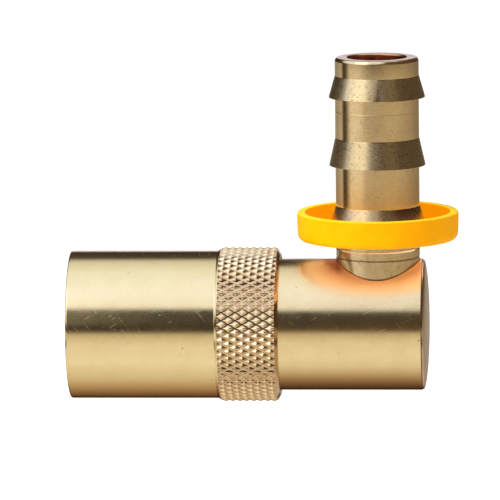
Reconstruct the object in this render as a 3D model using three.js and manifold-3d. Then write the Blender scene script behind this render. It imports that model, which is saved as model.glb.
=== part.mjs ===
// Ball-lock quick-connect coupling socket with an elbow hose barb, in millimetres.
// Origin: centre of the socket mouth. +X runs from the mouth to the rear end, +Z up the hose barb.
import * as THREE from 'three';
import { mergeVertices } from 'three/addons/utils/BufferGeometryUtils.js';
import Module from 'manifold-3d';

const wasm = await Module();
wasm.setup();

// Facets round a turned part
const ROUND = 40;

// Body: a front tube that carries the balls, and a thicker rear part
const BODY_R = 10;
const TUBE_R = 8.1;
const NOSE_X = 0.5;
const SHOULDER_X = 24.5;
const BODY_END_X = 53.6;
const SOCKET_R = 5.9;
const SEAT_FRONT_X = 16;
const SEAT_X = 18;
const SEAT_HOLE_R = 3.8;
const CHAMBER_R = 5.6;

// End plug
const PLUG_R = 9.89;
const SPIGOT_R = 6.2;
const SPIGOT_X = 50.3;
const CROWN_H = 0.85;

// Hose barb, for hose of 12.7 mm bore
const BARB_X = 46.86;
const STEM_R = 6.35;
const STEM_BORE_R = 4.42;
const BARB_R = 7.3;
const STEM_FOOT_Z = 7.15;
const STEM_TOP_Z = 40.9;

// Guard ring round the hose end
const GUARD_R = 12.25;
const GUARD_WALL = 1.1;
const GUARD_TOP_Z = 17.39;
const GUARD_FOOT_Z = 13.2;
const GUARD_FLOOR = 1.1;
const GUARD_HOLE_R = 6.45;

// Release sleeve
const SLEEVE_R = 11.25;
const KNURL_R = 11.75;
const KNURL_X = 22.72;
const SLEEVE_END_X = 32.03;
const SLEEVE_REAR_R = 10.15;
const SLEEVE_LAND_R = 8.2;
const SLEEVE_LAND_X = 7.6;
const SLEEVE_STEP_X = 2.4;
const SPRING_SEAT_X = 12.3;

// Locking balls
const BALLS = 8;
const BALL_R = 1.55;
const BALL_X = 7;
const BALL_CIRCLE_R = 6.7;
const BALL_HOLE_R = 1.7;
const BALL_HOLE_LIP_R = 1.48;
// Radial rise of the sleeve's ramp for each millimetre of its stroke
const RAMP = 0.268;
const RAMP_R_AT_BALL = 8.36;

// Retaining ring of the sleeve
const SNAP_X = 1.3;
const SNAP_T = 1;
const SNAP_OUT_R = 9.95;
const SNAP_IN_R = 7.65;
const SNAP_GAP_ANGLE = 0.3;

// Seals
const SEAL_X = 12;
const SEAL_MEAN_R = 6.45;
const SEAL_WIRE_R = 0.95;
const VALVE_SEAL_MEAN_R = 4.22;
const VALVE_SEAL_WIRE_R = 0.5;

// Shut-off valve
const POPPET_X = 13.6;
const POPPET_NOSE_R = 3.2;
const POPPET_NECK_R = 3.65;
const POPPET_HEAD_R = 4.9;
const POPPET_HEAD_X = 19.1;
const POPPET_BACK_X = 21;
const VALVE_STEM_R = 1.5;
const VALVE_STEM_END_X = 36;
const GUIDE_X = 31;
const GUIDE_T = 2;
const GUIDE_R = 5.55;
const GUIDE_BORE_R = 1.58;

const brass = { color: 0xb08f58, roughness: 0.38, metalness: 1 };
const steel = { color: 0x9a9c9e, roughness: 0.3, metalness: 1 };
const bronze = { color: 0x8c6a3a, roughness: 0.45, metalness: 1 };
const rubber = { color: 0x1c1c1e, roughness: 0.75, metalness: 0 };
const plastic = { color: 0xf2bd12, roughness: 0.4, metalness: 0 };

const group = new THREE.Group();
group.name = 'coupling_socket';

function add(name, geometry, finish) {
  const mesh = new THREE.Mesh(geometry, new THREE.MeshStandardMaterial(finish));
  mesh.name = name;
  group.add(mesh);
  return mesh;
}

// A profile is a list of [radius, distance along the axis]
function turned(profile, facets = ROUND) {
  const points = profile.map(([r, a]) => new THREE.Vector2(r, a));
  return new THREE.LatheGeometry(points, facets);
}

function turnedRing(profile, facets = ROUND) {
  return turned([...profile, profile[0]], facets);
}

// Turned about the coupling's axis, X
function addAlongX(name, geometry, finish) {
  const mesh = add(name, geometry, finish);
  mesh.rotation.z = -Math.PI / 2;
  return mesh;
}

// Turned about the barb's axis, Z
function addOnBarb(name, geometry, finish) {
  const mesh = add(name, geometry, finish);
  mesh.rotation.x = Math.PI / 2;
  mesh.position.x = BARB_X;
  return mesh;
}

function solidOf(geometry) {
  const bare = geometry.clone();
  bare.deleteAttribute('normal');
  bare.deleteAttribute('uv');
  const merged = mergeVertices(bare, 1e-5);
  return new wasm.Manifold(new wasm.Mesh({
    numProp: 3,
    vertProperties: new Float32Array(merged.attributes.position.array),
    triVerts: new Uint32Array(merged.index.array),
  }));
}

function geometryOf(solid) {
  const mesh = solid.getMesh();
  const geometry = new THREE.BufferGeometry();
  geometry.setAttribute('position', new THREE.BufferAttribute(mesh.vertProperties, 3));
  geometry.setIndex(new THREE.BufferAttribute(mesh.triVerts, 1));
  geometry.computeVertexNormals();
  return geometry;
}

function ballAngle(index) {
  return (2 * Math.PI * (index + 0.5)) / BALLS;
}

// A tapered hole that lets the ball reach into the socket without dropping through
function ballHole(index) {
  const lip = new THREE.CylinderGeometry(BALL_HOLE_R, BALL_HOLE_LIP_R, 0.85, 20);
  lip.translate(0, BALL_CIRCLE_R - 0.425, 0);
  const foot = new THREE.CylinderGeometry(BALL_HOLE_LIP_R, BALL_HOLE_LIP_R, 0.9, 20);
  foot.translate(0, BALL_CIRCLE_R - 1.25, 0);
  const bore = new THREE.CylinderGeometry(BALL_HOLE_R, BALL_HOLE_R, 2.4, 20);
  bore.translate(0, BALL_CIRCLE_R + 1.15, 0);
  const hole = solidOf(lip).add(solidOf(foot)).add(solidOf(bore));
  const turnedHole = hole.rotate([(ballAngle(index) * 180) / Math.PI, 0, 0]);
  return turnedHole.translate([BALL_X, 0, 0]);
}

function couplerBody() {
  const blank = turnedRing([
    [6.5, NOSE_X],
    [7.8, NOSE_X],
    [TUBE_R, 0.8],
    [TUBE_R, 1.25],
    [7.55, 1.25],
    [7.55, 2.35],
    [TUBE_R, 2.35],
    [TUBE_R, SHOULDER_X],
    [9.7, SHOULDER_X],
    [BODY_R, 24.8],
    [BODY_R, BODY_END_X],
    [SPIGOT_R + 0.05, BODY_END_X],
    [SPIGOT_R + 0.05, SPIGOT_X - 0.1],
    [CHAMBER_R, SPIGOT_X - 0.1],
    [CHAMBER_R, SEAT_X],
    [SEAT_HOLE_R, SEAT_X],
    [SEAT_HOLE_R, SEAT_FRONT_X],
    [SOCKET_R, SEAT_FRONT_X],
    [SOCKET_R, SEAL_X + 1.1],
    [SEAL_MEAN_R + 1, SEAL_X + 1.1],
    [SEAL_MEAN_R + 1, SEAL_X - 1.1],
    [SOCKET_R, SEAL_X - 1.1],
    [SOCKET_R, 1.1],
  ]);
  blank.rotateZ(-Math.PI / 2);
  let body = solidOf(blank);
  for (let i = 0; i < BALLS; i += 1) {
    body = body.subtract(ballHole(i));
  }
  const socket = new THREE.CylinderGeometry(STEM_R + 0.05, STEM_R + 0.05, 5, ROUND);
  socket.rotateX(Math.PI / 2);
  socket.translate(BARB_X, 0, STEM_FOOT_Z - 0.05 + 2.5);
  const passage = new THREE.CylinderGeometry(STEM_BORE_R, STEM_BORE_R, 8, ROUND);
  passage.rotateX(Math.PI / 2);
  passage.translate(BARB_X, 0, 4);
  return geometryOf(body.subtract(solidOf(socket)).subtract(solidOf(passage)));
}

function endPlug() {
  const rim = BODY_END_X + 0.05;
  const profile = [
    [0, SPIGOT_X],
    [SPIGOT_R - 0.25, SPIGOT_X],
    [SPIGOT_R, SPIGOT_X + 0.25],
    [SPIGOT_R, rim],
    [PLUG_R, rim],
  ];
  const steps = 5;
  for (let i = 0; i <= steps; i += 1) {
    const t = (i / steps) * (Math.PI / 2);
    profile.push([i < steps ? PLUG_R * Math.cos(t) : 0, rim + 0.1 + CROWN_H * Math.sin(t)]);
  }
  return turned(profile);
}

function hoseBarb() {
  const profile = [
    [STEM_BORE_R, STEM_FOOT_Z],
    [STEM_R, STEM_FOOT_Z],
  ];
  // Each barb: flat back below, long cone above, as [back, end of cone]
  const barbs = [[15.42, 18.37], [24.5, 28.7], [34.85, 38.15]];
  for (const [back, end] of barbs) {
    profile.push([STEM_R, back], [BARB_R - 0.06, back], [BARB_R, back + 0.1], [STEM_R, end]);
  }
  profile.push(
    [STEM_R, 40.3],
    [5.97, STEM_TOP_Z],
    [STEM_BORE_R + 0.25, STEM_TOP_Z],
    [STEM_BORE_R, 40.65],
  );
  return turnedRing(profile);
}

function guardRing() {
  const floor = GUARD_FOOT_Z + GUARD_FLOOR;
  const inner = GUARD_R - GUARD_WALL;
  return turnedRing([
    [GUARD_HOLE_R, GUARD_FOOT_Z],
    [10.8, GUARD_FOOT_Z],
    [11.75, 13.6],
    [12.2, 14.6],
    [GUARD_R, 17.1],
    [12, GUARD_TOP_Z],
    [inner + 0.15, GUARD_TOP_Z],
    [inner, 17.2],
    [inner, floor + 0.4],
    [inner - 0.4, floor],
    [7.5, floor],
    [7.3, floor + 0.6],
    [GUARD_HOLE_R, floor + 0.6],
  ]);
}

function rampRadius(x) {
  return RAMP_R_AT_BALL - RAMP * (x - BALL_X);
}

function releaseSleeve() {
  return turnedRing([
    [10.3, 0],
    [SLEEVE_R - 0.3, 0],
    [SLEEVE_R, 0.3],
    [SLEEVE_R, KNURL_X],
    [KNURL_R, KNURL_X + 0.5],
    [KNURL_R, SLEEVE_END_X - 0.62],
    [10.65, SLEEVE_END_X],
    [SLEEVE_REAR_R, SLEEVE_END_X],
    [SLEEVE_REAR_R, SPRING_SEAT_X],
    [SLEEVE_LAND_R, SPRING_SEAT_X],
    [SLEEVE_LAND_R, SLEEVE_LAND_X],
    [rampRadius(SLEEVE_STEP_X), SLEEVE_STEP_X],
    [10.1, SLEEVE_STEP_X],
    [10.1, 0.2],
  ]);
}

function snapRing() {
  const shape = new THREE.Shape();
  const gap = SNAP_GAP_ANGLE / 2;
  const start = Math.PI / 2 + gap;
  const end = Math.PI / 2 + 2 * Math.PI - gap;
  shape.absarc(0, 0, SNAP_OUT_R, start, end, false);
  shape.absarc(0, 0, SNAP_IN_R, end, start, true);
  shape.closePath();
  const flat = { depth: SNAP_T, bevelEnabled: false, curveSegments: ROUND };
  return new THREE.ExtrudeGeometry(shape, flat).rotateY(Math.PI / 2);
}

class Coil extends THREE.Curve {
  constructor(radius, start, length, turns) {
    super();
    Object.assign(this, { radius, start, length, turns });
  }

  getPoint(t) {
    const angle = 2 * Math.PI * this.turns * t;
    const y = this.radius * Math.cos(angle);
    const z = this.radius * Math.sin(angle);
    return new THREE.Vector3(this.start + this.length * t, y, z);
  }
}

function polygon(radius, sides, x = 0, y = 0) {
  const points = [];
  for (let i = 0; i < sides; i += 1) {
    const angle = (2 * Math.PI * i) / sides;
    points.push(new THREE.Vector2(x + radius * Math.cos(angle), y + radius * Math.sin(angle)));
  }
  return points;
}

// A spring between two faces on the X axis
function spring(meanRadius, wireRadius, from, to, turns) {
  const room = wireRadius + 0.1;
  const path = new Coil(meanRadius, from + room, to - from - 2 * room, turns);
  const section = new THREE.Shape(polygon(wireRadius, 5));
  const sweep = { steps: Math.round(turns * 12), bevelEnabled: false, extrudePath: path };
  return new THREE.ExtrudeGeometry(section, sweep);
}

function addSeal(name, meanRadius, wireRadius, x) {
  const mesh = add(name, new THREE.TorusGeometry(meanRadius, wireRadius, 8, ROUND), rubber);
  mesh.rotation.y = Math.PI / 2;
  mesh.position.x = x;
}

function poppet() {
  return turned([
    [0, POPPET_X],
    [POPPET_NOSE_R - 0.6, POPPET_X],
    [POPPET_NOSE_R, POPPET_X + 0.6],
    [POPPET_NOSE_R, SEAT_X - 0.4],
    [POPPET_NECK_R, SEAT_X - 0.1],
    [POPPET_NECK_R, POPPET_HEAD_X],
    [POPPET_HEAD_R, POPPET_HEAD_X],
    [POPPET_HEAD_R, POPPET_BACK_X - 0.4],
    [POPPET_HEAD_R - 0.4, POPPET_BACK_X],
    [VALVE_STEM_R, POPPET_BACK_X],
    [VALVE_STEM_R, VALVE_STEM_END_X - 0.3],
    [VALVE_STEM_R - 0.3, VALVE_STEM_END_X],
    [0, VALVE_STEM_END_X],
  ], 32);
}

// A disc with a bore for the valve's stem and six holes for the water
function valveGuide() {
  const shape = new THREE.Shape(polygon(GUIDE_R, ROUND));
  shape.holes.push(new THREE.Path(polygon(GUIDE_BORE_R, 20)));
  for (let i = 0; i < 6; i += 1) {
    const angle = (i * Math.PI) / 3;
    const x = 4.5 * Math.cos(angle);
    const y = 4.5 * Math.sin(angle);
    shape.holes.push(new THREE.Path(polygon(0.7, 10, x, y)));
  }
  return new THREE.ExtrudeGeometry(shape, { depth: GUIDE_T, bevelEnabled: false });
}

function addBalls() {
  for (let i = 0; i < BALLS; i += 1) {
    const ball = add(`locking_ball_${i + 1}`, new THREE.IcosahedronGeometry(BALL_R, 1), steel);
    const angle = ballAngle(i);
    ball.position.set(BALL_X, BALL_CIRCLE_R * Math.cos(angle), BALL_CIRCLE_R * Math.sin(angle));
  }
}

add('coupler_body', couplerBody(), brass);
addAlongX('end_plug', endPlug(), brass);
addOnBarb('hose_barb', hoseBarb(), brass);
addOnBarb('hose_guard_ring', guardRing(), plastic);
addAlongX('release_sleeve', releaseSleeve(), brass);
add('retaining_ring', snapRing(), steel).position.x = SNAP_X;
add('sleeve_spring', spring(9.1, 0.45, SPRING_SEAT_X, SHOULDER_X, 6), steel);
addSeal('plug_seal', SEAL_MEAN_R, SEAL_WIRE_R, SEAL_X);
addBalls();
addAlongX('valve_poppet', poppet(), bronze);
addSeal('valve_seal', VALVE_SEAL_MEAN_R, VALVE_SEAL_WIRE_R, SEAT_X + 0.05 + VALVE_SEAL_WIRE_R);
add('valve_spring', spring(3.1, 0.35, POPPET_BACK_X, GUIDE_X, 6), steel);
const guide = add('valve_guide', valveGuide(), bronze);
guide.rotation.y = Math.PI / 2;
guide.position.x = GUIDE_X;

export default group;
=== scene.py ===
import math
import random

import bmesh
import bpy
from mathutils import Matrix, Vector


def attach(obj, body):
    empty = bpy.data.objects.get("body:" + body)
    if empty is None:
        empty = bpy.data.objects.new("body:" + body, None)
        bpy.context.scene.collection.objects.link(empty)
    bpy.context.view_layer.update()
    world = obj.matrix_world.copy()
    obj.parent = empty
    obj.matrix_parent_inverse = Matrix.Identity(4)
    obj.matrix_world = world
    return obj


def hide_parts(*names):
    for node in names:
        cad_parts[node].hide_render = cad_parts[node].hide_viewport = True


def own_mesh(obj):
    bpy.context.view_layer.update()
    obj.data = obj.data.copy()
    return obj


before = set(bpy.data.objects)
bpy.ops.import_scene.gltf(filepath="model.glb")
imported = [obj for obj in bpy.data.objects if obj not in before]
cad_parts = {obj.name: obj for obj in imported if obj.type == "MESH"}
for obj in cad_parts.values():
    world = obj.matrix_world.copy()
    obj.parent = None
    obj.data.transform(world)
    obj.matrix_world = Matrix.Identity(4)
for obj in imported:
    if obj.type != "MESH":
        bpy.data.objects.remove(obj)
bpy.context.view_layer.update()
scene = bpy.context.scene

MM = 0.001
TURN = 2 * math.pi
ROUND = 256  # facets round a large turned piece

# ------------------------------------------------------------------ sizes, in millimetres
# The body lies along X with its mouth at x = 0, and the hose barb stands on it along Z.
BODY_R = 10.0
BODY_END = 53.6
BODY_SHOULDER = 24.5
NOSE_R = 8.1
BORE_R = 5.9
TAIL_BORE_R = 5.6
PLUG_R = 9.92
PLUG_CROWN = 0.88

SLEEVE_R = 11.25
SLEEVE_BORE_R = 10.15
SLEEVE_SHOULDER = 12.3
SLEEVE_END = 32.03
KNURL_R = 11.75
KNURL_X = 22.72
KNURL_STARTS = 60
KNURL_PITCH = 2.11
KNURL_DEPTH = 0.32
KNURL_CREST = 0.84

BALLS = 8
BALL_X = 7.0
BALL_CIRCLE = 6.7
BALL_R = 1.55

VALVE_R = 4.9
VALVE_BACK = 21.0
VALVE_STEM_R = 1.5
GUIDE_X = 31.0
GUIDE_R = 5.55

BARB_X = 46.86
BARB_BOTTOM = 7.15
BARB_TOP = 40.9
BARB_BORE_R = 4.42
STEM_R = 6.35
NECK_R = 6.12
GROOVE_Z = 10.55
BEVEL_LOW = 11.71
BEVEL_HIGH = 11.92
NECK_TOP = 12.9
HAIRLINE_Z = 32.75
CONE_R = 7.30
CONE_TIP_R = 6.36
CONES = ((15.42, 18.37), (24.5, 28.7), (34.85, 38.15))  # z of each cone's sharp edge and of its tip

RING_BORE_R = 6.5
RING_R = 12.25
RING_CUP_R = 11.0
RING_BOTTOM = 13.2
RING_FLOOR = 14.3
RING_TOP = 17.39


# ------------------------------------------------------------------ camera
CAMERA_PLACE = Vector((80.73, -805.9, 134.7)) * MM
CAMERA_TARGET = Vector((27.38, 0.0, 11.42)) * MM
CAMERA_ROLL = math.radians(-0.64)
CAMERA_LENS = 386.9
CAMERA_SENSOR = 36.0


def make_camera():
    forward = (CAMERA_TARGET - CAMERA_PLACE).normalized()
    level = forward.cross(Vector((0, 0, 1))).normalized()
    upright = level.cross(forward)
    right = level * math.cos(CAMERA_ROLL) + upright * math.sin(CAMERA_ROLL)
    up = upright * math.cos(CAMERA_ROLL) - level * math.sin(CAMERA_ROLL)
    data = bpy.data.cameras.new("camera")
    data.sensor_width = CAMERA_SENSOR
    data.lens = CAMERA_LENS
    data.clip_start = 0.01
    data.clip_end = 20.0
    camera = bpy.data.objects.new("camera", data)
    turn = Matrix((right, up, -forward)).transposed()
    camera.matrix_world = Matrix.Translation(CAMERA_PLACE) @ turn.to_4x4()
    scene.collection.objects.link(camera)
    scene.camera = camera


make_camera()


# ------------------------------------------------------------------ node helpers
class Nodes:
    """Short calls that add nodes to one tree. Most of them return an output socket."""

    def __init__(self, tree):
        self.tree = tree
        tree.nodes.clear()

    def add(self, kind, inputs=None, **props):
        node = self.tree.nodes.new(kind)
        for key, value in props.items():
            setattr(node, key, value)
        for key, value in (inputs or {}).items():
            self.put(node.inputs[key], value)
        return node

    def put(self, socket, value):
        """Link a socket, or set a plain value. A colour is given by its red, green and blue."""
        if isinstance(value, bpy.types.NodeSocket):
            self.tree.links.new(value, socket)
        elif socket.type == "RGBA":
            socket.default_value = (*value, 1.0)
        else:
            socket.default_value = value

    def math(self, operation, a, b=0.0, *more):
        """A math node. Values after the second are taken in turn, each by a node of its own."""
        node = self.add("ShaderNodeMath", {0: a, 1: b}, operation=operation)
        if more:
            return self.math(operation, node.outputs[0], *more)
        return node.outputs[0]

    def times(self, *values):
        return self.math("MULTIPLY", *values)

    def plus(self, *values):
        return self.math("ADD", *values)

    def length(self, a, b):
        return self.math("SQRT", self.plus(self.times(a, a), self.times(b, b)))

    def mix(self, factor, a, b):
        return self.add("ShaderNodeMix", {0: factor, 6: a, 7: b}, data_type="RGBA").outputs[2]

    def span(self, value, low, high, to_low=0.0, to_high=1.0, smooth=False):
        """Map low..high to to_low..to_high, and hold the ends."""
        kind = "SMOOTHSTEP" if smooth else "LINEAR"
        inputs = {0: value, 1: low, 2: high, 3: to_low, 4: to_high}
        return self.add("ShaderNodeMapRange", inputs, interpolation_type=kind).outputs[0]

    def band(self, value, low, full_from, full_to, high, smooth=False):
        """1 between full_from and full_to, fading to 0 at low and at high."""
        start = self.span(value, low, full_from, smooth=smooth)
        return self.times(start, self.span(value, high, full_to, smooth=smooth))

    def ramp(self, value, low, high, stops):
        """Colours along a value from low to high. Each stop is (value, colour)."""
        node = self.add("ShaderNodeValToRGB", {0: self.span(value, low, high)})
        elements = node.color_ramp.elements
        while len(elements) < len(stops):
            elements.new(0.5)
        for element, (place, colour) in zip(elements, stops):
            element.position = (place - low) / (high - low)
            element.color = (*colour, 1.0)
        return node.outputs[0]

    def noise(self, vector, scale, detail=2.0, rough=0.5):
        inputs = {"Vector": vector, "Scale": scale, "Detail": detail, "Roughness": rough}
        return self.add("ShaderNodeTexNoise", inputs).outputs[0]

    def place_mm(self, scale=(1, 1, 1), offset=(0, 0, 0)):
        """Object coordinates in millimetres, stretched by scale and then shifted."""
        inputs = {
            "Vector": self.add("ShaderNodeTexCoord").outputs["Object"],
            "Scale": [s / MM for s in scale],
            "Location": offset,
        }
        return self.add("ShaderNodeMapping", inputs).outputs[0]

    def split(self, vector):
        return self.add("ShaderNodeSeparateXYZ", {"Vector": vector}).outputs

    def bump(self, height, strength, distance, normal=None):
        inputs = {"Height": height, "Strength": strength, "Distance": distance}
        if normal is not None:
            inputs["Normal"] = normal
        return self.add("ShaderNodeBump", inputs).outputs[0]

    def principled(self, inputs):
        """A principled shader joined to the material's output."""
        shader = self.add("ShaderNodeBsdfPrincipled", inputs)
        self.add("ShaderNodeOutputMaterial", {"Surface": shader.outputs[0]})


def new_material(name):
    material = bpy.data.materials.new(name)
    material.use_nodes = True
    return material, Nodes(material.node_tree)


def tint(colour, by):
    return tuple(c * b for c, b in zip(colour, by))


def from_body_axis(n):
    """Distance from the body's axis, in millimetres."""
    _, y, z = n.split(n.place_mm())
    return n.length(y, z)


def from_barb_axis(n):
    """Offset along X from the barb's axis, distance from that axis, and height, in millimetres."""
    x, y, z = n.split(n.place_mm())
    offset = n.math("SUBTRACT", x, BARB_X)
    return offset, n.length(offset, y), z


# ------------------------------------------------------------------ brass
TOOL_LINES = {"X": (9.0, 0.12, 0.12), "Z": (0.12, 0.12, 9.0)}  # noise scale that makes rings
HAIRLINES = {"X": (0.22, 0.6, 5.5), "Z": (5.5, 0.6, 0.22)}  # noise scale that makes scratches
FACING_LINES = 7.0  # noise scale of the facing tool's rings
GRAIN = 0.02 * MM  # height of the surface's relief
PIT_DEPTH = 0.03 * MM


def hairlines(n, axis, slant, seed):
    """Sparse straight scratches that slant by an angle in radians."""
    coord = n.add("ShaderNodeTexCoord").outputs["Object"]
    slanted = n.add("ShaderNodeMapping", {"Vector": coord, "Rotation": (0.0, slant, 0.3)})
    stretched = n.add("ShaderNodeMapping", {
        "Vector": slanted.outputs[0],
        "Scale": [s / MM for s in HAIRLINES[axis]],
        "Location": (seed, seed * 2.0, -seed),
    })
    return n.span(n.noise(stretched.outputs[0], 1.0, 1.0, 0.4), 0.722, 0.765, smooth=True)


def pits(n, place):
    """Small round pits, scattered in patches."""
    spots = n.add("ShaderNodeTexVoronoi", {"Vector": place, "Scale": 0.62}, feature="F1")
    patch = n.math("GREATER_THAN", n.noise(place, 0.5, 0.0), 0.5)
    return n.times(n.span(spots.outputs["Distance"], 0.03, 0.075, 1.0, 0.0), patch)


def facing_rings(n):
    """The spiral that a facing tool leaves on end faces, as rings round the body's axis."""
    across = n.times(from_body_axis(n), FACING_LINES)
    return n.noise(n.add("ShaderNodeCombineXYZ", {"X": across}).outputs[0], 1.0, 3.0, 0.6)


def brass(name, axis, colour, deep, rough, lines=1.0, freckles=0.0, seed=0.0,
          marks_and_light=None, matt=None, faced=0.0):
    """Turned brass: fine tool lines run round the axis, and the colour drifts from colour to deep.

    freckles and faced are amounts of brown specks and of facing rings. marks_and_light(n, colour) paints
    the marks and the painted light of one part, and matt(n) is 0 where the finish is bright and 1 where it is
    duller.
    """
    material, n = new_material(name)
    place = n.place_mm(offset=(seed, seed * 0.7, seed * 1.3))
    tool = n.place_mm(scale=TOOL_LINES[axis], offset=(seed, seed, seed))
    cloud = n.noise(place, 0.35, 4.0, 0.6)
    fine = n.noise(place, 5.0, 3.0, 0.65)
    ring = n.noise(tool, 1.0, 3.0, 0.6)
    grain = n.noise(place, 11.0, 2.0, 0.6)
    pit = pits(n, place)
    scratch = n.math("MAXIMUM", hairlines(n, axis, 0.5, seed), hairlines(n, axis, -0.9, seed + 4.0))
    dull = matt(n) if matt else 0.0

    col = n.mix(n.span(cloud, 0.35, 0.68, smooth=True), colour, deep)
    col = n.mix(n.span(fine, 0.60, 0.75, 0.0, 0.30), col, tint(deep, (0.62, 0.54, 0.42)))
    col = n.mix(n.times(pit, 0.8), col, (0.10, 0.06, 0.03))
    if freckles:
        amount = n.span(n.noise(place, 1.9, 4.0, 0.8), 0.53, 0.64, 0.0, freckles, smooth=True)
        amount = n.times(amount, n.span(dull, 0.0, 1.0, 0.35, 1.0))
        col = n.mix(amount, col, tint(deep, (0.42, 0.34, 0.26)))
    if marks_and_light:
        col = marks_and_light(n, col)

    roughness = n.span(cloud, 0.3, 0.7, rough * 0.85, rough * 1.15)
    roughness = n.plus(roughness, n.span(fine, 0.4, 0.7, -0.02, 0.05), n.times(scratch, 0.10))
    if matt:
        roughness = n.plus(roughness, n.times(dull, 0.12))

    normal = n.bump(ring, 0.10 * lines, GRAIN)
    if faced:
        normal = n.bump(facing_rings(n), faced, GRAIN, normal)
    normal = n.bump(grain, 0.06 + 0.10 * lines, GRAIN, normal)
    sunk = n.math("MAXIMUM", pit, n.times(scratch, 0.15))
    normal = n.bump(n.math("SUBTRACT", 1.0, sunk), 0.5, PIT_DEPTH, normal)
    n.principled({"Base Color": col, "Metallic": 1.0, "Roughness": roughness, "Normal": normal})
    return material


def body_marks_and_shade(n, col):
    """Warmer metal round the barb's foot, a dark brown patch beside it on the left, and painted shade on the
    underside.
    """
    offset, away, z = from_barb_axis(n)
    away = n.plus(away, n.span(n.noise(n.place_mm(), 0.5, 3.0, 0.6), 0.3, 0.7, -0.6, 0.6))
    warm = n.times(n.span(away, 13.0, 7.5, smooth=True), n.span(z, 4.5, 7.5, smooth=True))
    col = n.mix(n.times(warm, 0.35), col, (0.93, 0.62, 0.40))
    # a dark reddish-brown patch on the left of the barb's foot
    brown_patch = n.times(
        n.span(away, 9.2, 7.0, smooth=True), n.span(z, 8.3, 9.3, smooth=True),
        n.span(offset, -4.6, -6.0, smooth=True))
    col = n.mix(n.times(brown_patch, 0.8), col, (0.34, 0.12, 0.06))
    # painted shade: darker and browner towards the bottom
    return n.mix(n.span(z, -5.0, -9.7, 0.0, 0.85), col, (0.26, 0.13, 0.055))


def body_matt(n):
    """The flux left the metal matt round the barb's foot."""
    _, away, z = from_barb_axis(n)
    return n.times(n.span(away, 16.0, 9.5, 0.0, 1.5, smooth=True), n.span(z, 3.0, 6.5, smooth=True))


def knurl_oxide_and_shade(n, col):
    """Brown oxide and painted shade, darker deep in the grooves."""
    deep = n.span(from_body_axis(n), KNURL_R - 0.09, KNURL_R - 0.31, 0.0, 0.40)
    return n.mix(deep, col, (0.40, 0.22, 0.11))


def barb_marks_and_light(n, col):
    """Painted shade in the scribed groove, a painted highlight on the bevel, a warm stem, a brown lowest cone
    shaded darker on its right, and a bore painted copper for light bounced inside it.
    """
    offset, away, z = from_barb_axis(n)
    from_groove = n.math("ABSOLUTE", n.math("SUBTRACT", z, GROOVE_Z))
    # painted shade: the scribed groove is painted dark
    groove = n.times(n.span(away, STEM_R - 0.01, STEM_R - 0.07), n.span(from_groove, 0.2, 0.1))
    col = n.mix(n.times(groove, 0.5), col, (0.16, 0.09, 0.05))
    # painted highlight: the bevel under the guard ring is painted pale
    bevel_highlight = n.band(z, BEVEL_LOW - 0.03, BEVEL_LOW, BEVEL_HIGH + 0.01, BEVEL_HIGH + 0.03)
    col = n.mix(n.times(bevel_highlight, 0.9), col, (0.76, 0.84, 0.68))
    # the stem is warmest just above the lowest cone's tip
    tip = CONES[0][1]
    warm = n.times(n.span(z, CONES[1][0] - 0.5, tip - 0.37), n.span(z, tip - 0.17, tip + 0.03))
    col = n.mix(warm, col, (0.84, 0.52, 0.21))
    # the lowest cone is brown all round, and painted shade makes its right side darker
    brown_patch = n.times(n.span(away, STEM_R + 0.02, STEM_R + 0.07), n.span(z, tip + 0.23, tip - 0.07))
    col = n.mix(n.times(brown_patch, 0.35), col, (0.60, 0.34, 0.18))
    # painted shade on the right side of the lowest cone
    side = n.times(n.span(offset, 0.6, 3.2, smooth=True), n.span(z, 16.9, 18.0, 0.25, 1.0))
    col = n.mix(n.times(brown_patch, side, 0.7), col, (0.22, 0.10, 0.045))
    # painted reflection: the bore is painted copper-brown for light bounced round inside it
    return n.mix(n.span(away, BARB_BORE_R + 0.18, BARB_BORE_R + 0.08), col, (0.62, 0.30, 0.17))


def barb_matt(n):
    """The cones, and less so the foot under the ring, have a coarser finish."""
    _, away, z = from_barb_axis(n)
    foot = n.span(z, NECK_TOP, NECK_TOP - 0.3, 0.0, 0.5)
    return n.math("MAXIMUM", n.span(away, STEM_R + 0.02, STEM_R + 0.07), foot)


M_SLEEVE = brass(
    "sleeve_brass", "X", (0.905, 0.77, 0.475), (0.885, 0.74, 0.445),
    rough=0.15, lines=0.2, seed=3.0, faced=0.2)
# painted highlight: the knurl's brass is paler than the sleeve's, so that its facets look brighter
M_KNURL = brass(
    "knurl_brass", "X", (0.96, 0.80, 0.57), (0.92, 0.74, 0.50),
    rough=0.10, lines=0.2, seed=9.0, marks_and_light=knurl_oxide_and_shade)
M_BODY = brass(
    "body_brass", "X", (0.885, 0.735, 0.455), (0.86, 0.70, 0.42),
    rough=0.175, seed=5.0, marks_and_light=body_marks_and_shade, matt=body_matt, faced=0.2)
M_PLUG = brass(
    "plug_brass", "X", (0.82, 0.66, 0.52), (0.74, 0.56, 0.42),
    rough=0.19, seed=7.0, faced=0.35)
M_BARB = brass(
    "barb_brass", "Z", (0.85, 0.70, 0.45), (0.81, 0.65, 0.40),
    rough=0.15, freckles=0.6, seed=11.0, marks_and_light=barb_marks_and_light, matt=barb_matt)
M_BRAZE = brass(
    "braze_filler", "Z", (0.30, 0.17, 0.09), (0.18, 0.10, 0.055),
    rough=0.42, seed=13.0)
M_VALVE = brass(
    "valve_brass_look", "X", (0.80, 0.64, 0.38), (0.72, 0.55, 0.30),
    rough=0.26, seed=17.0)


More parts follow.
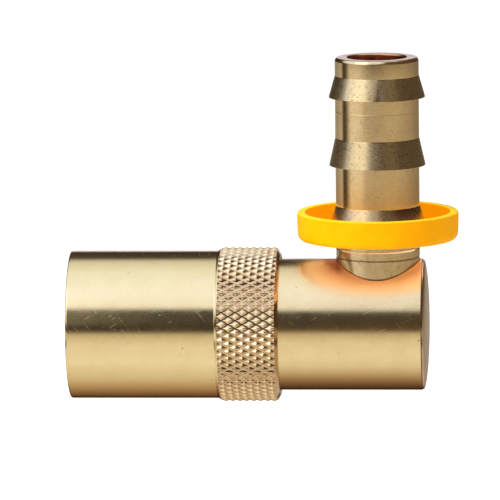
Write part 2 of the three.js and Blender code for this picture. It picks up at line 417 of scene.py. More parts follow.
# ------------------------------------------------------------------ steel, rubber and plastic
def steel(name, colour, rough, seed):
    material, n = new_material(name)
    place = n.place_mm(offset=(seed, seed, seed))
    cloud = n.noise(place, 1.2, 4.0, 0.6)
    fine = n.noise(place, 9.0, 3.0, 0.6)
    n.principled({
        "Base Color": n.mix(n.span(cloud, 0.35, 0.7), colour, tint(colour, (0.72, 0.72, 0.72))),
        "Metallic": 1.0,
        "Roughness": n.span(fine, 0.3, 0.7, rough * 0.8, rough * 1.3),
        "Normal": n.bump(fine, 0.08, 0.01 * MM),
    })
    return material


def rubber(name):
    material, n = new_material(name)
    place = n.place_mm()
    cloud = n.noise(place, 1.5, 4.0, 0.6)
    fine = n.noise(place, 16.0, 3.0, 0.6)
    n.principled({
        "Base Color": n.mix(n.span(cloud, 0.35, 0.7), (0.018, 0.018, 0.02), (0.035, 0.034, 0.033)),
        "Roughness": n.span(cloud, 0.3, 0.7, 0.42, 0.6),
        "Normal": n.bump(fine, 0.15, GRAIN),
    })
    return material


def yellow_plastic(name):
    """Moulded plastic that lets a little light through. Its underside is painted paler with a painted glow,
    and the cup's inside has a painted glow.
    """
    material, n = new_material(name)
    place = n.place_mm()
    cloud = n.noise(place, 0.25, 3.0, 0.55)
    fine = n.noise(place, 7.0, 3.0, 0.6)
    col = n.mix(n.span(cloud, 0.35, 0.68, smooth=True), (0.655, 0.279, 0.0), (0.635, 0.256, 0.0))
    col = n.mix(n.span(fine, 0.66, 0.78, 0.0, 0.25), col, (0.62, 0.21, 0.0))
    _, away, z = from_barb_axis(n)
    spread = n.span(away, 7.0, 11.2)
    # painted light: the underside is painted paler, as if lit from below
    under = n.times(
        n.span(z, RING_BOTTOM + 0.75, RING_BOTTOM + 0.25), n.span(away, RING_R - 0.6, RING_R - 1.25))
    col = n.mix(under, col, n.mix(spread, (0.80, 0.40, 0.20), (0.98, 0.76, 0.48)))
    # painted highlight: the top rim is painted a lighter yellow
    col = n.mix(n.span(z, RING_TOP - 0.19, RING_TOP - 0.01), col, (0.62, 0.42, 0.012))
    # painted glow inside the cup, for light passing through the plastic
    inside = n.times(
        n.span(away, RING_CUP_R + 0.5, RING_CUP_R + 0.1), n.span(z, RING_FLOOR - 0.3, RING_FLOOR - 0.1))
    # painted glow on the underside, brighter towards the outside
    underside_glow = n.mix(spread, (0.16, 0.05, 0.02), (0.36, 0.26, 0.14))
    glow = n.mix(inside, n.mix(under, (0.0, 0.0, 0.0), underside_glow), (0.41, 0.148, 0.0))
    n.principled({
        "Base Color": col,
        "Roughness": n.span(cloud, 0.3, 0.7, 0.42, 0.52),
        "Normal": n.bump(fine, 0.06, GRAIN, n.bump(cloud, 0.12, 0.15 * MM)),
        "Specular IOR Level": 0.03,
        "Emission Color": glow,
        "Emission Strength": 1.0,
        "Subsurface Weight": 0.25,
        "Subsurface Radius": (0.9, 0.45, 0.05),
        "Subsurface Scale": 0.8 * MM,
    })
    return material


M_WIRE = steel("spring_wire", (0.56, 0.56, 0.57), rough=0.28, seed=2.0)
M_BALL = steel("ball_steel_look", (0.72, 0.72, 0.74), rough=0.10, seed=4.0)
M_SNAP = steel("snap_steel", (0.40, 0.40, 0.42), rough=0.35, seed=6.0)
M_RUBBER = rubber("seal_rubber_look")
M_YELLOW = yellow_plastic("guard_plastic")


# ------------------------------------------------------------------ mesh helpers
SHARP = 32.0  # degrees between faces, above which an edge stays sharp


def rounded(corners, closed=True, steps=4):
    """Outline from corners (r, a, cut): a corner with a cut becomes a small curve of that size."""
    out = []
    count = len(corners)
    for i, corner in enumerate(corners):
        p = Vector(corner[:2])
        cut = corner[2] if len(corner) > 2 else 0.0
        if cut <= 0 or (not closed and i in (0, count - 1)):
            out.append(tuple(p))
            continue
        before = Vector(corners[(i - 1) % count][:2])
        after = Vector(corners[(i + 1) % count][:2])
        a = p + (before - p).normalized() * min(cut, (before - p).length * 0.49)
        b = p + (after - p).normalized() * min(cut, (after - p).length * 0.49)
        for s in range(steps + 1):
            t = s / steps
            out.append(tuple(a * (1 - t) ** 2 + p * 2 * t * (1 - t) + b * t ** 2))
    return out


def lathe_data(profile, axis, facets=ROUND, closed=True):
    """Vertices and faces of a solid turned round the body's axis "X" or the barb's axis "Z".

    The profile holds (r, a) with a along the axis. An open one starts and ends on the axis.
    """
    verts, faces, rows = [], [], []
    for r, a in profile:
        single = abs(r) < 1e-9
        row = []
        for k in range(1 if single else facets):
            c, s = r * math.cos(TURN * k / facets), r * math.sin(TURN * k / facets)
            row.append(len(verts))
            verts.append((a, c, s) if axis == "X" else (BARB_X + c, s, a))
        rows.append(row * facets if single else row)
    for i in range(len(profile) if closed else len(profile) - 1):
        low, high = rows[i], rows[(i + 1) % len(profile)]
        for k in range(facets):
            after = (k + 1) % facets
            face = list(dict.fromkeys([low[k], low[after], high[after], high[k]]))
            if len(face) > 2:
                faces.append(face)
    return verts, faces


def swept_faces(rows, sides):
    """Faces of a section swept through a number of rows, with both ends capped."""
    faces = []
    for i in range(rows - 1):
        for k in range(sides):
            a, b = i * sides + k, i * sides + (k + 1) % sides
            faces.append((a, b, b + sides, a + sides))
    last = (rows - 1) * sides
    faces.append(tuple(range(sides)))
    faces.append(tuple(last + k for k in reversed(range(sides))))
    return faces


def shade(mesh, sharp=SHARP):
    mesh.shade_smooth()
    mesh.set_sharp_from_angle(angle=math.radians(sharp))


def build(name, verts, faces, material, sharp=SHARP):
    """An object from vertices in millimetres, with its faces turned outwards."""
    mesh = bpy.data.meshes.new(name)
    mesh.from_pydata([tuple(c * MM for c in v) for v in verts], [], faces)
    bm = bmesh.new()
    bm.from_mesh(mesh)
    bmesh.ops.recalc_face_normals(bm, faces=bm.faces)
    bm.to_mesh(mesh)
    bm.free()
    shade(mesh, sharp)
    mesh.materials.append(material)
    obj = bpy.data.objects.new(name, mesh)
    scene.collection.objects.link(obj)
    return obj


def turned(name, corners, axis, material, facets=ROUND, closed=True, sharp=SHARP):
    verts, faces = lathe_data(rounded(corners, closed), axis, facets, closed)
    return build(name, verts, faces, material, sharp)


def rod(name, radius, low, high, axis, material, facets):
    """A plain cylinder, to cut a hole with."""
    corners = [(0, low), (radius, low), (radius, high), (0, high)]
    return turned(name, corners, axis, material, facets, closed=False)


def boolean(target, tool, operation):
    """Apply a boolean to the target and remove the tool."""
    modifier = target.modifiers.new("cut", "BOOLEAN")
    modifier.operation = operation
    modifier.object = tool
    modifier.solver = "MANIFOLD"
    deps = bpy.context.evaluated_depsgraph_get()
    mesh = bpy.data.meshes.new_from_object(target.evaluated_get(deps))
    target.modifiers.clear()
    old = target.data
    target.data = mesh
    bpy.data.meshes.remove(old)
    bpy.data.objects.remove(tool)


def merge_points(mesh):
    """Merge the coincident points that a boolean leaves, which would make faces of no area."""
    bm = bmesh.new()
    bm.from_mesh(mesh)
    bmesh.ops.remove_doubles(bm, verts=bm.verts, dist=1e-4 * MM)
    bm.to_mesh(mesh)
    bm.free()


def settle(obj, body, nodes):
    """Make a piece ride a body and stand in for CAD nodes."""
    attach(obj, body)
    if nodes:
        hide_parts(*nodes)


# ------------------------------------------------------------------ release sleeve and its knurl
# where a diamond is sampled, from the groove before it (0) to the one after it (1)
KNURL_SAMPLES = (0.0, 0.075, 0.13, 0.19, 0.27, 0.37, 0.5, 0.63, 0.73, 0.81, 0.87, 0.925)
KNURL_SHARP = 26.0


def diamond_height(u, v):
    """Height of a domed diamond, 0 to 1: nearly flat groove floor, steep foot, rounded crest."""
    du, dv = abs(2 * (u % 1.0) - 1), abs(2 * (v % 1.0) - 1)
    away = (du ** 6 + dv ** 6) ** (1 / 6)
    return max(0.0, 1 - (away / KNURL_CREST) ** 1.22)


def knurl_tool():
    """A cylinder covered in raised diamonds, between two sets of grooves 30 degrees to the axis.

    u and v count grooves across each set. Its ends lie outside the knurled band.
    """
    per = len(KNURL_SAMPLES)
    rows = KNURL_STARTS * per
    columns = int(math.ceil((SLEEVE_END - KNURL_X + 2.2) / KNURL_PITCH)) * 2 * per
    width = columns + 1
    x0 = KNURL_X - 1.2

    def sample(i):
        return i // per + KNURL_SAMPLES[i % per]

    verts = []
    for j in range(rows):
        v = sample(j)
        for k in range(width):
            u = sample(j + k)
            r = KNURL_R - KNURL_DEPTH * (1 - diamond_height(u, v))
            angle = TURN * (u + v) / 2 / KNURL_STARTS
            verts.append((x0 + (u - v) / 2 * KNURL_PITCH, r * math.cos(angle), r * math.sin(angle)))
    end_low, end_high = len(verts), len(verts) + 1
    verts += [(x0 - 1.0, 0, 0), (x0 + columns / per / 2 * KNURL_PITCH + 1.0, 0, 0)]

    faces = []
    for j in range(rows):
        here, after = j * width, (j + 1) % rows * width
        for k in range(1, columns):
            a, b, c, d = here + k, here + k + 1, after + k, after + k - 1
            # each quad is split along the diamond's slope
            same_half = (KNURL_SAMPLES[(j + k) % per] < 0.5) == (KNURL_SAMPLES[j % per] < 0.5)
            faces += [(a, b, c), (a, c, d)] if same_half else [(a, b, d), (b, c, d)]
        # a fan closes each end
        faces += [(here, here + 1, after), (here, after, end_low)]
        faces += [(after + columns - 1, here + columns, after + columns)]
        faces += [(here + columns, after + columns, end_high)]
    return verts, faces


def make_sleeve():
    """The turned sleeve, and the knurled band round it as a piece of its own."""
    main = turned("release_sleeve_look", [
        (SLEEVE_BORE_R + 0.1, 0.0, 0.12), (SLEEVE_R, 0.0, 0.30), (SLEEVE_R, KNURL_X - 0.2, 0.05),
        (11.47, KNURL_X + 0.11), (11.47, KNURL_X + 0.23), (10.9, KNURL_X + 0.23), (10.9, SLEEVE_END - 0.13),
        (SLEEVE_BORE_R, SLEEVE_END - 0.13), (SLEEVE_BORE_R, SLEEVE_SHOULDER, 0.1),
        (8.2, SLEEVE_SHOULDER, 0.1), (8.2, 7.6, 0.2), (9.593, 2.4, 0.05),
        (SLEEVE_BORE_R - 0.05, 2.4, 0.05), (SLEEVE_BORE_R - 0.05, 0.15, 0.1),
    ], "X", M_SLEEVE)
    crest = KNURL_R + 0.03
    band = turned("knurl_band", [
        (11.0, KNURL_X), (11.2, KNURL_X), (11.44, KNURL_X + 0.15), (crest, KNURL_X + 0.48, 0.1),
        (crest, SLEEVE_END - 0.62, 0.15), (10.72, SLEEVE_END, 0.1), (SLEEVE_BORE_R, SLEEVE_END, 0.1),
        (SLEEVE_BORE_R, 30.0), (10.5, 30.0), (10.5, 23.4),
    ], "X", M_KNURL, facets=KNURL_STARTS * len(KNURL_SAMPLES))
    verts, faces = knurl_tool()
    boolean(band, build("knurl_tool", verts, faces, M_KNURL), "INTERSECT")
    merge_points(band.data)
    shade(band.data, KNURL_SHARP)
    settle(main, "sleeve", ["release_sleeve"])
    settle(band, "sleeve", [])


make_sleeve()


# ------------------------------------------------------------------ body, end plug and braze
SEAL_GROOVE = (10.9, 13.1)
SEAL_GROOVE_R = 7.45
SNAP_GROOVE = (1.25, 2.35)
SNAP_GROOVE_R = 7.6


def ball_angle(i):
    return TURN * (i + 0.5) / BALLS


def cut_ball_hole(body, i):
    """A round hole through the nose, narrower inside so that the ball can't fall through."""
    corners = [(0, 5.0), (1.48, 5.0), (1.48, 5.85), (1.70, BALL_CIRCLE), (1.70, 9.0), (0, 9.0)]
    hole = turned("ball_hole", corners, "X", M_BODY, facets=48, closed=False)
    turn = Matrix.Rotation(ball_angle(i), 4, "X") @ Matrix.Rotation(math.pi / 2, 4, "Z")
    hole.data.transform(Matrix.Translation((BALL_X * MM, 0, 0)) @ turn)
    boolean(body, hole, "DIFFERENCE")


def make_body():
    body = turned("coupler_body_look", [
        (6.55, 0.5, 0.08), (7.8, 0.5, 0.1), (NOSE_R, 0.8, 0.05),
        (NOSE_R, SNAP_GROOVE[0], 0.05), (SNAP_GROOVE_R, SNAP_GROOVE[0]),
        (SNAP_GROOVE_R, SNAP_GROOVE[1]), (NOSE_R, SNAP_GROOVE[1], 0.05),
        (NOSE_R, BODY_SHOULDER, 0.1), (BODY_R - 0.3, BODY_SHOULDER, 0.05), (BODY_R, BODY_SHOULDER + 0.3, 0.1),
        (BODY_R, BODY_END, 0.08), (6.25, BODY_END, 0.05), (6.25, 50.2), (TAIL_BORE_R, 50.2, 0.05),
        (TAIL_BORE_R, 18.0, 0.1), (3.8, 18.0, 0.08), (3.8, 16.0, 0.1), (BORE_R, 16.0, 0.15),
        (BORE_R, SEAL_GROOVE[1], 0.08), (SEAL_GROOVE_R, SEAL_GROOVE[1], 0.1),
        (SEAL_GROOVE_R, SEAL_GROOVE[0], 0.1), (BORE_R, SEAL_GROOVE[0], 0.08), (BORE_R, 1.15, 0.15),
    ], "X", M_BODY)
    for i in range(BALLS):
        cut_ball_hole(body, i)
    # a seat for the barb's foot, and the passage that joins the two bores
    for radius, low, high in ((STEM_R + 0.03, 7.1, 12.0), (BARB_BORE_R, 0.0, 9.0)):
        boolean(body, rod("barb_hole", radius, low, high, "Z", M_BODY, 128), "DIFFERENCE")
    merge_points(body.data)
    shade(body.data)
    settle(body, "body", ["coupler_body"])


def make_plug():
    """A plug with a slightly crowned outer face, pressed into the body's end."""
    corners = [(0, 50.3), (5.95, 50.3), (6.2, 50.55), (6.2, BODY_END + 0.03)]
    corners += [(PLUG_R - 0.12, BODY_END + 0.03), (PLUG_R, BODY_END + 0.10)]
    steps = 14
    for i in range(1, steps + 1):
        angle = i / steps * math.pi / 2
        r = PLUG_R * math.cos(angle) if i < steps else 0.0
        corners.append((r, BODY_END + 0.12 + PLUG_CROWN * math.sin(angle)))
    plug = turned("end_plug_look", corners, "X", M_PLUG, closed=False)
    settle(plug, "body", ["end_plug"])


def make_braze():
    """A thin uneven fillet of filler along the saddle line where the barb meets the body."""
    rng = random.Random(7)
    waves = [(rng.randint(3, 17), rng.uniform(0, 6.28), rng.uniform(0.2, 0.5)) for _ in range(7)]
    rows, sides = 240, 5
    verts = []

    def on_body(angle, radius, lift=0.0):
        """Point at a distance from the barb's axis, lifted off the body's surface."""
        y = radius * math.sin(angle)
        height = math.sqrt(max(0.0, (BODY_R + lift) ** 2 - y * y))
        return (BARB_X + radius * math.cos(angle), y, height)

    for i in range(rows):
        angle = TURN * i / rows
        wave = sum(amount * math.sin(count * angle + start) for count, start, amount in waves) / 2.5
        size = 0.12 + 0.03 * wave
        x, y, _ = on_body(angle, STEM_R + 0.01)
        verts += [
            on_body(angle, STEM_R - 0.04, -0.15),
            (x, y, on_body(angle, STEM_R)[2] + size),
            on_body(angle, STEM_R + size * 0.30, size * 0.22),
            on_body(angle, STEM_R + size, 0.012),
            on_body(angle, STEM_R + size * 0.9, -0.1),
        ]
    faces = []
    for i in range(rows):
        a, b = i * sides, ((i + 1) % rows) * sides
        for k in range(sides):
            faces.append((a + k, a + (k + 1) % sides, b + (k + 1) % sides, b + k))
    settle(build("braze_fillet", verts, faces, M_BRAZE, sharp=60.0), "body", [])


make_body()
make_plug()
make_braze()


# ------------------------------------------------------------------ hose barb
def barb_cone(edge, tip):
    """Outline of one cone. Its point a quarter of the way up keeps the nicks' shading near the edge."""
    share = 0.25
    extra = (CONE_R - share * (CONE_R - CONE_TIP_R), edge + share * (tip - edge))
    return [(STEM_R, edge), (CONE_R, edge, 0.07), extra, (CONE_TIP_R, tip)]


def nick_edges(mesh):
    """Small nicks in the sharp edges of the cones, and a deeper one at the front of the top edge."""
    rng = random.Random(21)
    edges = [edge for edge, _ in CONES]
    nicks = [(rng.choice(edges), rng.uniform(0, TURN), rng.uniform(0.03, 0.08), 0.05) for _ in range(26)]
    nicks.append((edges[-1], 0.085 - math.pi / 2, 0.07, 0.15))
    for vertex in mesh.vertices:
        x, y, z = vertex.co.x / MM - BARB_X, vertex.co.y / MM, vertex.co.z / MM
        r = math.hypot(x, y)
        if r < CONE_R - 0.2:
            continue
        for edge, angle, size, depth in nicks:
            gap = (math.atan2(y, x) - angle + math.pi) % TURN - math.pi
            if abs(z - edge) < 0.4 and abs(gap) < size:
                dip = depth * (1 - abs(gap) / size) * MM
                vertex.co.x -= x / r * dip
                vertex.co.y -= y / r * dip


def make_barb():
    corners = [(BARB_BORE_R, BARB_BOTTOM), (STEM_R, BARB_BOTTOM, 0.1)]
    # a scribed groove
    corners += [(STEM_R, GROOVE_Z - 0.11), (STEM_R - 0.15, GROOVE_Z - 0.04)]
    corners += [(STEM_R - 0.15, GROOVE_Z + 0.04), (STEM_R, GROOVE_Z + 0.11)]
    # a narrow bevel and a shallow neck, just under the guard ring
    corners += [(STEM_R, BEVEL_LOW), (STEM_R - 0.08, BEVEL_HIGH), (NECK_R, BEVEL_HIGH + 0.06)]
    corners += [(NECK_R, NECK_TOP - 0.2), (STEM_R, NECK_TOP)]
    corners += barb_cone(*CONES[0]) + barb_cone(*CONES[1])
    # a hairline groove
    corners += [(STEM_R, HAIRLINE_Z - 0.05), (STEM_R - 0.012, HAIRLINE_Z), (STEM_R, HAIRLINE_Z + 0.05)]
    corners += barb_cone(*CONES[2])
    corners += [(STEM_R, BARB_TOP - 0.45, 0.12), (6.14, BARB_TOP - 0.04, 0.14), (5.95, BARB_TOP, 0.06)]
    corners += [(BARB_BORE_R + 0.2, BARB_TOP, 0.08), (BARB_BORE_R, BARB_TOP - 0.2, 0.08)]
    barb = turned("hose_barb_look", corners, "Z", M_BARB, sharp=6.0)
    nick_edges(barb.data)
    settle(barb, "body", ["hose_barb"])


make_barb()


# ------------------------------------------------------------------ guard ring
def make_ring():
    ring = turned("guard_ring_look", [
        (RING_BORE_R, RING_BOTTOM, 0.15), (10.6, RING_BOTTOM, 0.3), (RING_R - 0.07, RING_BOTTOM, 1.35),
        (RING_R, 17.0, 0.2), (RING_R - 0.03, RING_TOP, 0.25), (RING_CUP_R + 0.05, RING_TOP, 0.2),
        (RING_CUP_R, RING_FLOOR, 0.5), (7.5, RING_FLOOR, 0.25), (7.3, 14.9, 0.15), (RING_BORE_R, 14.9, 0.1),
    ], "Z", M_YELLOW, sharp=50.0)
    settle(ring, "guard_ring", ["hose_guard_ring"])


make_ring()


# ------------------------------------------------------------------ inner parts
def make_snap():
    """A retaining ring of rectangular section, open at the top."""
    gap = 0.3
    steps = 200
    inner, outer, front, back = 7.65, 9.95, 1.3, 2.3
    cut = 0.08
    corners = [(inner, front, cut), (outer, front, cut), (outer, back, cut), (inner, back, cut)]
    section = rounded(corners, steps=2)
    verts = []
    for i in range(steps + 1):
        angle = gap / 2 + (TURN - gap) * i / steps
        verts += [(a, r * math.sin(angle), r * math.cos(angle)) for r, a in section]
    faces = swept_faces(steps + 1, len(section))
    snap = build("retaining_ring_look", verts, faces, M_SNAP)
    settle(snap, "body", ["retaining_ring"])


def make_coil(name, mean, wire, low, high, turns, body, node):
    """Wire spring from low to high along X, whose ends lie flat for about half a turn."""
    steps = int(turns * 64)
    sides = 14
    flat = 0.08  # share of the wire that lies flat at each end
    room = wire + 0.02
    verts = []
    for i in range(steps + 1):
        free = min(1, max(0, (i / steps - flat) / (1 - 2 * flat)))
        lead = 0.35 * (0.5 - 0.5 * math.cos(math.pi * free)) + 0.65 * free
        x = low + room + (high - low - 2 * room) * lead
        angle = TURN * turns * i / steps
        for k in range(sides):
            s = TURN * k / sides
            r = mean + wire * math.cos(s)
            verts.append((x + wire * math.sin(s), r * math.cos(angle), r * math.sin(angle)))
    coil = build(name, verts, swept_faces(steps + 1, sides), M_WIRE)
    settle(coil, body, [node])
    return coil


def make_springs():
    """The sleeve's spring and the valve's spring, each with a mesh of its own."""
    spring = make_coil(
        "sleeve_spring_look", 9.1, 0.45, SLEEVE_SHOULDER, BODY_SHOULDER, 6, "sleeve_carrier", "sleeve_spring")
    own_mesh(spring)
    spring = make_coil("valve_spring_look", 3.1, 0.35, VALVE_BACK, GUIDE_X, 6, "body", "valve_spring")
    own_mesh(spring)


def make_seal(name, mean, wire, x, body, node):
    """An O-ring of round section."""
    sides = 24
    corners = []
    for k in range(sides):
        s = TURN * k / sides
        corners.append((mean + wire * math.cos(s), x + wire * math.sin(s)))
    seal = turned(name, corners, "X", M_RUBBER, facets=160, sharp=60.0)
    settle(seal, body, [node])


def make_balls():
    for i in range(BALLS):
        angle = ball_angle(i)
        place = Vector((BALL_X, BALL_CIRCLE * math.cos(angle), BALL_CIRCLE * math.sin(angle))) * MM
        mesh = bpy.data.meshes.new(f"ball_{i + 1}")
        bm = bmesh.new()
        bmesh.ops.create_icosphere(bm, subdivisions=5, radius=BALL_R * MM)
        bmesh.ops.translate(bm, verts=bm.verts, vec=place)
        bm.to_mesh(mesh)
        bm.free()
        mesh.shade_smooth()
        mesh.materials.append(M_BALL)
        ball = bpy.data.objects.new(f"ball_look_{i + 1}", mesh)
        scene.collection.objects.link(ball)
        settle(ball, f"ball_{i + 1}", [f"locking_ball_{i + 1}"])


def make_poppet():
    """The valve: a nose, a seat for its seal, a flange and a long stem."""
    neck_r, seal_r = 3.2, 3.65
    poppet = turned("valve_poppet_look", [
        (0, 13.6), (2.6, 13.6, 0.1), (neck_r, 14.2, 0.1), (neck_r, 17.6, 0.05), (seal_r, 17.9, 0.05),
        (seal_r, 19.1), (VALVE_R, 19.1, 0.1), (VALVE_R, 20.6, 0.1), (4.5, VALVE_BACK, 0.1),
        (VALVE_STEM_R, VALVE_BACK, 0.1), (VALVE_STEM_R, 35.7, 0.05), (1.2, 36.0, 0.05), (0, 36.0),
    ], "X", M_VALVE, facets=128, closed=False)
    settle(poppet, "valve", ["valve_poppet"])


def make_guide():
    """A disc that the valve's stem slides in, with holes for the flow."""
    low, high = GUIDE_X, GUIDE_X + 2.0
    hub_r = VALVE_STEM_R + 0.08
    holes, hole_r, circle = 6, 0.7, 4.5
    guide = turned("valve_guide_look", [
        (hub_r, low, 0.1), (GUIDE_R, low, 0.1), (GUIDE_R, high, 0.1), (hub_r, high, 0.1),
    ], "X", M_VALVE, facets=128)
    for i in range(holes):
        angle = TURN * i / holes
        hole = rod("guide_hole", hole_r, low - 1.0, high + 1.0, "X", M_VALVE, 32)
        place = Vector((0, circle * math.cos(angle), circle * math.sin(angle))) * MM
        hole.data.transform(Matrix.Translation(place))
        boolean(guide, hole, "DIFFERENCE")
    shade(guide.data)
    settle(guide, "body", ["valve_guide"])


make_snap()
make_springs()
make_seal("plug_seal_look", 6.45, 0.95, 12.0, "body", "plug_seal")
make_seal("valve_seal_look", 4.22, 0.5, 18.55, "valve", "valve_seal")
make_balls()
make_poppet()
make_guide()


# ------------------------------------------------------------------ floor
FLOOR_Z = -0.12
FLOOR_RADIUS = 6.0


def make_floor():
    mesh = bpy.data.meshes.new("floor")
    bm = bmesh.new()
    bmesh.ops.create_circle(bm, cap_ends=True, radius=FLOOR_RADIUS, segments=96)
    bm.to_mesh(mesh)
    bm.free()
    material, n = new_material("floor_white")
    col = n.mix(n.noise(n.place_mm(), 0.02, 2.0), (0.95, 0.95, 0.95), (0.93, 0.93, 0.93))
    n.principled({"Base Color": col, "Roughness": 0.9})
    mesh.materials.append(material)
    floor = bpy.data.objects.new("floor", mesh)
    floor.location.z = FLOOR_Z
    floor.visible_glossy = False
    scene.collection.objects.link(floor)


# ------------------------------------------------------------------ world: a studio seen in reflections
class Way:
    """Direction of a reflected ray, as parts of a unit vector and as angles in degrees."""

    def __init__(self, n):
        self.x, y, self.z = n.split(n.add("ShaderNodeTexCoord").outputs["Generated"])
        self.left = n.times(self.x, -1.0)
        self.front = n.times(y, -1.0)
        self.aside = n.math("ABSOLUTE", self.x)
        degrees = 180 / math.pi
        # over: 0 at the front horizon, 90 overhead, 180 at the back, negative below
        self.over = n.times(n.math("ARCTAN2", self.z, self.front), degrees)
        # side: 0 in front, 90 on the left, -90 on the right
        self.side = n.times(n.math("ARCTAN2", self.left, self.front), degrees)
        self.rise = n.times(n.math("ARCSINE", self.z), degrees)


def dark_room(n, way):
    """A dark room, browner high up on the right, with a dim pale screen on the right."""
    right = n.span(way.x, 0.1, 0.6, smooth=True)
    look = n.mix(n.span(way.x, -0.09, -0.04), (0.040, 0.032, 0.023), (0.082, 0.048, 0.024))
    look = n.mix(right, look, (0.075, 0.048, 0.026))
    look = n.mix(n.times(right, n.span(way.z, 0.3, 0.6)), look, (0.13, 0.055, 0.030))
    screen = n.times(
        n.band(way.x, 0.25, 0.5, 0.68, 0.82, smooth=True), n.band(way.rise, 12.0, 16.0, 30.0, 36.0),
        n.math("GREATER_THAN", way.front, 0.0))
    return n.mix(screen, look, (0.185, 0.150, 0.085))


def overhead_box(n, way, look):
    """A softbox overhead, bright towards the front, whose back half reaches further right."""
    colour = n.ramp(way.over, 0.0, 180.0, [
        (30, (0.05, 0.039, 0.028)), (36, (0.98, 0.98, 1.0)), (58, (1.05, 1.08, 1.25)),
        (78, (1.03, 1.09, 1.18)), (100, (0.97, 0.99, 1.0)), (125, (0.72, 0.70, 0.64)),
        (136, (0.06, 0.05, 0.036)), (160, (0.045, 0.024, 0.015)),
    ])
    across = n.math("DIVIDE", way.x, n.math("MAXIMUM", way.z, 0.02))
    across = n.math("SUBTRACT", across, n.span(way.over, 62.0, 80.0, 0.0, 0.30))
    reach = n.times(n.span(across, 0.55, 0.22, smooth=True), n.span(way.z, 0.08, 0.2, smooth=True))
    return n.mix(reach, look, colour)


def left_box(n, way, look):
    """A hot softbox on the left, brighter higher up. Its stand hides its low rear corner."""
    colour = n.ramp(way.rise, 0.0, 90.0, [
        (8, (1.08, 0.99, 0.82)), (14, (1.24, 1.14, 0.97)), (21, (1.28, 1.22, 1.08)),
        (30, (1.7, 1.7, 1.7)), (46, (2.4, 2.4, 2.5)), (80, (2.1, 2.1, 2.2)),
    ])
    box = n.times(
        n.span(way.left, 0.22, 0.50), n.span(way.front, 0.24, 0.42, smooth=True),
        n.band(way.rise, 4.5, 10.0, 68.0, 76.0, smooth=True))
    look = n.mix(box, look, colour)
    corner = n.band(way.side, 76.0, 90.0, 118.0, 128.0, smooth=True)
    corner = n.times(corner, n.band(way.rise, 4.0, 8.0, 16.0, 19.5))
    return n.mix(corner, look, (0.06, 0.040, 0.025))


def backdrop(n, way, look):
    """A pale backdrop low behind the part."""
    behind = n.times(
        n.span(way.aside, 0.22, 0.14, smooth=True), n.span(way.rise, 13.5, 10.5, smooth=True),
        n.math("LESS_THAN", way.front, 0.0))
    return n.mix(behind, look, (0.76, 0.70, 0.80))


def table(n, way, look):
    """A pale table, dimmer on the right and brighter on the left, with a dark stand on each side."""
    colour = n.ramp(way.over, -180.0, 0.0, [
        (-170, (0.40, 0.35, 0.28)), (-160, (0.03, 0.012, 0.004)), (-147, (0.085, 0.032, 0.010)),
        (-123, (0.30, 0.175, 0.09)), (-103, (0.54, 0.37, 0.225)), (-85, (0.74, 0.61, 0.44)),
        (-52, (0.92, 0.86, 0.71)), (-25, (0.88, 0.79, 0.625)), (-18, (0.78, 0.69, 0.53)),
        (-9, (0.63, 0.53, 0.385)),
    ])
    far = n.mix(n.span(way.rise, -6.0, -20.0), (0.24, 0.19, 0.135), (0.62, 0.50, 0.37))
    right = n.mix(n.span(way.front, 0.6, -0.8), (0.62, 0.51, 0.34), far)
    colour = n.mix(n.span(way.x, 0.16, 0.36, smooth=True), colour, right)
    left = n.mix(n.span(way.front, 0.15, -0.85), (0.95, 0.84, 0.68), (0.30, 0.255, 0.19))
    colour = n.mix(n.span(way.left, 0.45, 0.75, smooth=True), colour, left)
    stand = n.times(
        n.span(way.aside, 0.30, 0.45, smooth=True), n.span(way.front, 0.1, 0.3),
        n.band(way.rise, -27.0, -23.0, -16.0, -13.0), 0.85)
    colour = n.mix(stand, colour, (0.05, 0.025, 0.014))
    edge = n.math("SUBTRACT", way.rise, n.span(way.aside, 0.15, 0.5, 0.0, 2.0, smooth=True))
    return n.mix(n.span(edge, -1.0, -8.8, smooth=True), look, colour)


def dark_gap(n, way, look):
    """A dark gap between the table and the left softbox."""
    gap = n.band(way.side, 72.0, 96.0, 106.0, 110.0, smooth=True)
    gap = n.times(gap, n.band(way.rise, -34.0, -24.0, 2.0, 10.0))
    return n.mix(gap, look, (0.07, 0.045, 0.025))


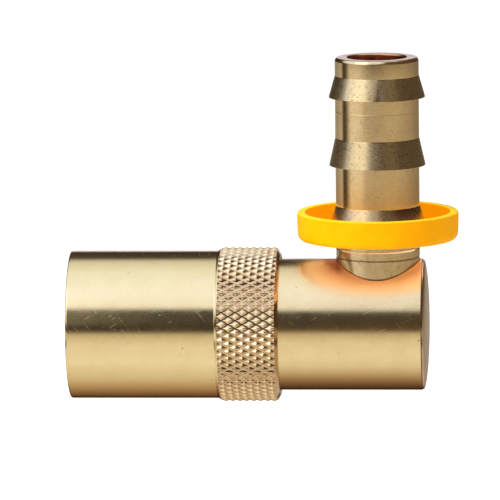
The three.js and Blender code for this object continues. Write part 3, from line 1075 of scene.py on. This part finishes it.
def make_world():
    """White to the camera, soft white light on matt surfaces, and a studio in reflections."""
    world = bpy.data.worlds.new("studio")
    world.use_nodes = True
    scene.world = world
    n = Nodes(world.node_tree)
    way = Way(n)
    look = dark_room(n, way)
    for layer in (overhead_box, left_box, backdrop, table, dark_gap):
        look = layer(n, way, look)

    def background(colour, strength):
        return n.add("ShaderNodeBackground", {"Color": colour, "Strength": strength}).outputs[0]

    rays = n.add("ShaderNodeLightPath").outputs
    seen = background((1.0, 1.0, 1.0), 1.25)
    mirrored = background(look, 1.0)
    soft = background((1.0, 1.0, 0.995), 1.10)
    unseen = n.add("ShaderNodeMixShader", {0: rays["Is Glossy Ray"], 1: soft, 2: mirrored}).outputs[0]
    final = n.add("ShaderNodeMixShader", {0: rays["Is Camera Ray"], 1: unseen, 2: seen}).outputs[0]
    n.add("ShaderNodeOutputWorld", {"Surface": final})


# ------------------------------------------------------------------ lights
def area_light(name, shape, size, energy, colour, place, toward):
    """An area light at a place in metres, facing along a direction and hidden from the camera."""
    data = bpy.data.lights.new(name, "AREA")
    data.shape = shape
    data.size, data.size_y = size
    data.energy = energy
    data.color = colour
    light = bpy.data.objects.new(name, data)
    light.location = place
    light.rotation_mode = "QUATERNION"
    light.rotation_quaternion = toward.to_track_quat("-Z", "Y")
    light.visible_camera = False
    scene.collection.objects.link(light)
    return light


def make_key():
    """A large light at the front left, which reflections don't show."""
    place = Vector((-0.60, -0.55, 0.42))
    toward = Vector((0.03, 0, 0.01)) - place
    key = area_light("key", "RECTANGLE", (0.45, 0.45), 11.0, (1.0, 0.99, 0.96), place, toward)
    key.visible_glossy = False


def make_top_light():
    """A round light straight above, which reflections don't show."""
    place = Vector((0.0, 0.1, 0.75))
    top = area_light("top", "DISK", (0.5, 0.5), 3.0, (1.0, 1.0, 1.0), place, Vector((0, 0, -1)))
    top.visible_glossy = False


def make_barb_card():
    """A dim reflector that lights only the hose barb, and softens its cones' highlight on the right."""
    turn, rise, distance = math.radians(7.0), math.radians(24.0), 0.20
    middle = Vector((BARB_X, 0.0, 36.5)) * MM
    away = Vector((-math.sin(turn) * math.cos(rise), -math.cos(turn) * math.cos(rise), math.sin(rise)))
    card = area_light(
        "barb_card", "ELLIPSE", (0.085, 0.035), 0.0043, (1.0, 0.93, 0.80), middle + away * distance, -away)
    lit = bpy.data.collections.new("barb_only")
    lit.objects.link(bpy.data.objects["hose_barb_look"])
    card.light_linking.receiver_collection = lit


make_floor()
make_world()
make_key()
make_top_light()
make_barb_card()
scene.view_settings.view_transform = "Standard"
scene.view_settings.look = "None"
